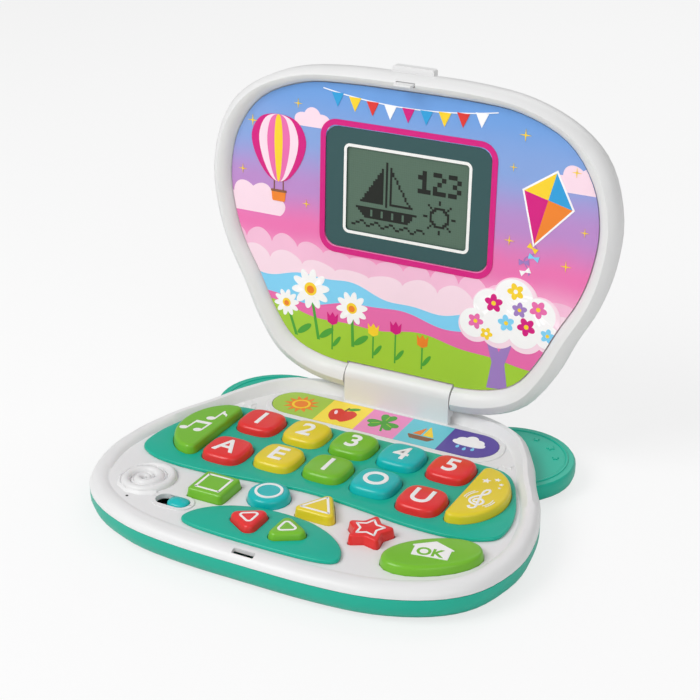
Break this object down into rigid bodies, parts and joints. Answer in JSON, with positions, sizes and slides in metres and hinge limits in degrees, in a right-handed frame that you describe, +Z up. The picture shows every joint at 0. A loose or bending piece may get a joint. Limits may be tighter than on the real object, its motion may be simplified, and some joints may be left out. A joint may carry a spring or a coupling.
{
  "type": "toy laptop computer",
  "caption": "Toy laptop computer: rounded white and teal clamshell with coloured push keys, a slide switch, a picture strip, a speaker relief and a hinged lid with a small display.",
  "frame": {"origin": "bottom centre of the box around the open toy, in the plane of the feet", "axes": "+X to the player's right along the hinge, +Y away from the player, +Z up"},
  "size_m": [0.2178, 0.1801, 0.1941],
  "materials": {
    "white_shell": "satin moulded",
    "teal_shell": "satin moulded",
    "red_key": "satin moulded",
    "yellow_key": "satin moulded",
    "green_key": "satin moulded",
    "blue_key": "satin moulded",
    "printed_strip": "printed",
    "printed_panel": "printed",
    "screen_print": "printed",
    "lcd_glass": "polished",
    "steel": "zinc plated",
    "foot_rubber": "moulded",
    "membrane": "moulded",
    "board": "solder mask",
    "cell_jacket": "printed jacket",
    "speaker_black": "moulded",
    "black_plastic": "moulded"
  },
  "bodies": {
    "base": {"arrow_plate": "teal_shell", "base_bottom_shell": "teal_shell", "base_top_shell": "white_shell", "battery_1": "cell_jacket", "battery_2": "cell_jacket", "battery_3": "cell_jacket", "battery_cover": "teal_shell", "battery_cover_screw": "steel", "battery_tray": "black_plastic", "case_screw_1": "steel", "case_screw_2": "steel", "case_screw_3": "steel", "case_screw_4": "steel", "contact_left": "steel", "contact_right": "steel", "foot_1": "foot_rubber", "foot_2": "foot_rubber", "foot_3": "foot_rubber", "foot_4": "foot_rubber", "hinge_pin_left": "steel", "hinge_pin_right": "steel", "keyboard_plate": "teal_shell", "keypad_membrane": "membrane", "main_board": "board", "picture_strip": "printed_strip", "power_switch": "steel", "speaker": "speaker_black"},
    "lid": {"lid_front_frame": "white_shell", "lid_back_shell": "white_shell", "artwork_panel": "printed_panel", "screen_bezel": "screen_print", "lcd_panel": "lcd_glass", "lcd_board": "board", "latch_hook": "white_shell", "lid_screw_1": "steel", "lid_screw_2": "steel", "lid_screw_3": "steel", "lid_screw_4": "steel"},
    "key_1": {"key_1": "red_key"},
    "key_2": {"key_2": "yellow_key"},
    "key_3": {"key_3": "green_key"},
    "key_4": {"key_4": "blue_key"},
    "key_5": {"key_5": "red_key"},
    "key_a": {"key_a": "red_key"},
    "key_e": {"key_e": "yellow_key"},
    "key_i": {"key_i": "green_key"},
    "key_o": {"key_o": "blue_key"},
    "key_u": {"key_u": "red_key"},
    "music_key_left": {"music_key_left": "green_key"},
    "music_key_right": {"music_key_right": "yellow_key"},
    "square_key": {"square_key": "green_key"},
    "circle_key": {"circle_key": "blue_key"},
    "triangle_key": {"triangle_key": "yellow_key"},
    "star_key": {"star_key": "red_key"},
    "arrow_key_left": {"arrow_key_left": "red_key"},
    "arrow_key_right": {"arrow_key_right": "green_key"},
    "ok_key": {"ok_key": "green_key"},
    "power_slider": {"power_slider": "blue_key"}
  },
  "joints": [
    {"name": "lid_hinge", "type": "hinge", "parent": "base", "child": "lid", "pos_m": [0, 0.07045, 0.031], "axis": [1, 0, 0], "range_deg": [0, 94.2]},
    {"name": "key_1_press", "type": "slide", "parent": "base", "child": "key_1", "axis": [0, 0, 1], "range_m": [-0.0018, 0], "stiffness_N_per_m": 600, "springref_m": 0.001},
    {"name": "key_2_press", "type": "slide", "parent": "base", "child": "key_2", "axis": [0, 0, 1], "range_m": [-0.0018, 0], "stiffness_N_per_m": 600, "springref_m": 0.001},
    {"name": "key_3_press", "type": "slide", "parent": "base", "child": "key_3", "axis": [0, 0, 1], "range_m": [-0.0018, 0], "stiffness_N_per_m": 600, "springref_m": 0.001},
    {"name": "key_4_press", "type": "slide", "parent": "base", "child": "key_4", "axis": [0, 0, 1], "range_m": [-0.0018, 0], "stiffness_N_per_m": 600, "springref_m": 0.001},
    {"name": "key_5_press", "type": "slide", "parent": "base", "child": "key_5", "axis": [0, 0, 1], "range_m": [-0.0018, 0], "stiffness_N_per_m": 600, "springref_m": 0.001},
    {"name": "key_a_press", "type": "slide", "parent": "base", "child": "key_a", "axis": [0, 0, 1], "range_m": [-0.0018, 0], "stiffness_N_per_m": 600, "springref_m": 0.001},
    {"name": "key_e_press", "type": "slide", "parent": "base", "child": "key_e", "axis": [0, 0, 1], "range_m": [-0.0018, 0], "stiffness_N_per_m": 600, "springref_m": 0.001},
    {"name": "key_i_press", "type": "slide", "parent": "base", "child": "key_i", "axis": [0, 0, 1], "range_m": [-0.0018, 0], "stiffness_N_per_m": 600, "springref_m": 0.001},
    {"name": "key_o_press", "type": "slide", "parent": "base", "child": "key_o", "axis": [0, 0, 1], "range_m": [-0.0018, 0], "stiffness_N_per_m": 600, "springref_m": 0.001},
    {"name": "key_u_press", "type": "slide", "parent": "base", "child": "key_u", "axis": [0, 0, 1], "range_m": [-0.0018, 0], "stiffness_N_per_m": 600, "springref_m": 0.001},
    {"name": "music_key_left_press", "type": "slide", "parent": "base", "child": "music_key_left", "axis": [0, 0, 1], "range_m": [-0.0018, 0], "stiffness_N_per_m": 600, "springref_m": 0.001},
    {"name": "music_key_right_press", "type": "slide", "parent": "base", "child": "music_key_right", "axis": [0, 0, 1], "range_m": [-0.0018, 0], "stiffness_N_per_m": 600, "springref_m": 0.001},
    {"name": "square_key_press", "type": "slide", "parent": "base", "child": "square_key", "axis": [0, 0, 1], "range_m": [-0.0018, 0], "stiffness_N_per_m": 600, "springref_m": 0.001},
    {"name": "circle_key_press", "type": "slide", "parent": "base", "child": "circle_key", "axis": [0, 0, 1], "range_m": [-0.0018, 0], "stiffness_N_per_m": 600, "springref_m": 0.001},
    {"name": "triangle_key_press", "type": "slide", "parent": "base", "child": "triangle_key", "axis": [0, 0, 1], "range_m": [-0.0018, 0], "stiffness_N_per_m": 600, "springref_m": 0.001},
    {"name": "star_key_press", "type": "slide", "parent": "base", "child": "star_key", "axis": [0, 0, 1], "range_m": [-0.0018, 0], "stiffness_N_per_m": 600, "springref_m": 0.001},
    {"name": "arrow_key_left_press", "type": "slide", "parent": "base", "child": "arrow_key_left", "axis": [0, 0, 1], "range_m": [-0.0018, 0], "stiffness_N_per_m": 600, "springref_m": 0.001},
    {"name": "arrow_key_right_press", "type": "slide", "parent": "base", "child": "arrow_key_right", "axis": [0, 0, 1], "range_m": [-0.0018, 0], "stiffness_N_per_m": 600, "springref_m": 0.001},
    {"name": "ok_key_press", "type": "slide", "parent": "base", "child": "ok_key", "axis": [0, 0, 1], "range_m": [-0.0018, 0], "stiffness_N_per_m": 600, "springref_m": 0.001},
    {"name": "power_slide", "type": "slide", "parent": "base", "child": "power_slider", "axis": [1, 0, 0], "range_m": [-0.0063, 0]}
  ]
}
